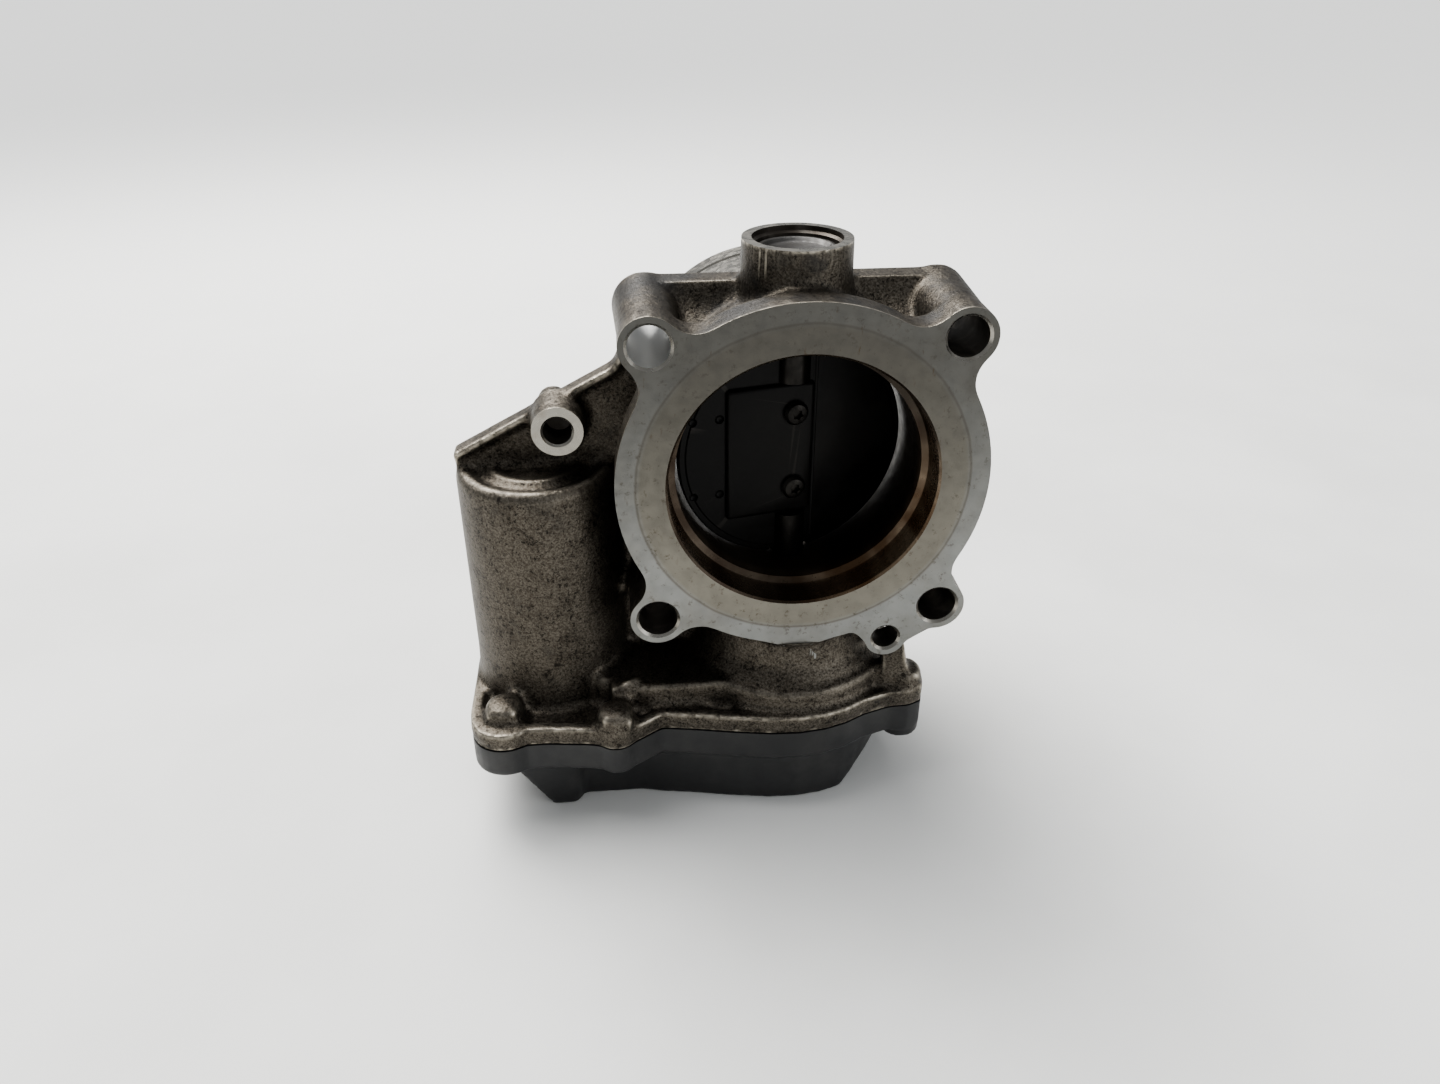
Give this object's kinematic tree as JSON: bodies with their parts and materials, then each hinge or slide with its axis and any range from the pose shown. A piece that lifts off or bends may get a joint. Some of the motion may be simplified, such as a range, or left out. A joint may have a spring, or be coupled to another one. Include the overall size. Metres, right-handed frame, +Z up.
{
  "type": "electronic throttle body",
  "caption": "Electronic throttle body: a die-cast bore with a turning butterfly plate, side motor, gear train and plastic gear cover.",
  "frame": {"origin": "on the throttle shaft's axis, at the gear cover's lowest face, which the part rests on", "axes": "+Z up along the throttle shaft, -Y out of the manifold flange along the bore, +Y out of the hose spigot, +X away from the motor"},
  "size_m": [0.1205, 0.085, 0.135],
  "materials": {
    "casting": "die cast, grimy, machined faces",
    "plug_steel": "pressed",
    "bearing_steel": "ground",
    "rubber": "matt",
    "spring_steel": "drawn",
    "zinc_plate": "zinc plated",
    "plate_alloy": "dull, oily",
    "gear_plastic": "moulded",
    "magnet": "sintered",
    "brass": "bright",
    "cover_plastic": "satin moulded",
    "board": "lacquered"
  },
  "bodies": {
    "body": {"housing": "casting", "core_plug": "plug_steel", "upper_bearing": "bearing_steel", "lower_bearing": "bearing_steel", "shaft_seal": "rubber", "return_spring": "spring_steel", "stop_screw": "zinc_plate", "intermediate_pin": "bearing_steel", "motor_can": "zinc_plate", "motor_magnet_left": "magnet", "motor_magnet_right": "magnet", "motor_end_plate": "zinc_plate", "motor_bush": "brass", "motor_wave_washer": "spring_steel", "motor_terminal_left": "brass", "motor_terminal_right": "brass", "motor_screw_1": "zinc_plate", "motor_screw_2": "zinc_plate", "gear_cover": "cover_plastic", "cover_seal": "rubber", "sensor_board": "board", "cover_screw_1": "zinc_plate", "connector_pin_1": "brass", "cover_screw_2": "zinc_plate", "connector_pin_2": "brass", "cover_screw_3": "zinc_plate", "connector_pin_3": "brass", "cover_screw_4": "zinc_plate", "connector_pin_4": "brass", "cover_screw_5": "zinc_plate", "connector_pin_5": "brass", "cover_screw_6": "zinc_plate", "connector_pin_6": "brass"},
    "throttle": {"throttle_shaft": "bearing_steel", "throttle_plate": "plate_alloy", "plate_screw_upper": "zinc_plate", "plate_screw_lower": "zinc_plate", "spring_bush": "gear_plastic", "sector_gear": "gear_plastic", "sensor_magnet": "magnet"},
    "idler": {"intermediate_gear": "gear_plastic"},
    "motor_rotor": {"motor_armature": "spring_steel", "motor_shaft": "bearing_steel", "motor_pinion": "brass"}
  },
  "joints": [
    {"name": "throttle_turn", "type": "hinge", "parent": "body", "child": "throttle", "pos_m": [0, 0, 0.086], "axis": [0, 0, 1], "range_deg": [-7.5, 77.5], "stiffness_Nm_per_rad": 0.02},
    {"name": "idler_turn", "type": "hinge", "parent": "body", "child": "idler", "pos_m": [-0.03026, 0.00672, 0.015], "axis": [0, 0, 1], "range_deg": [-270, 30]},
    {"name": "motor_turn", "type": "hinge", "parent": "body", "child": "motor_rotor", "pos_m": [-0.0595, 0, 0.04], "axis": [0, 0, 1], "range_deg": [-105, 1065]}
  ],
  "couplings": [
    {"joint": "idler_turn", "follows": "throttle_turn", "ratio": -3.4286},
    {"joint": "motor_turn", "follows": "throttle_turn", "ratio": 13.714}
  ]
}
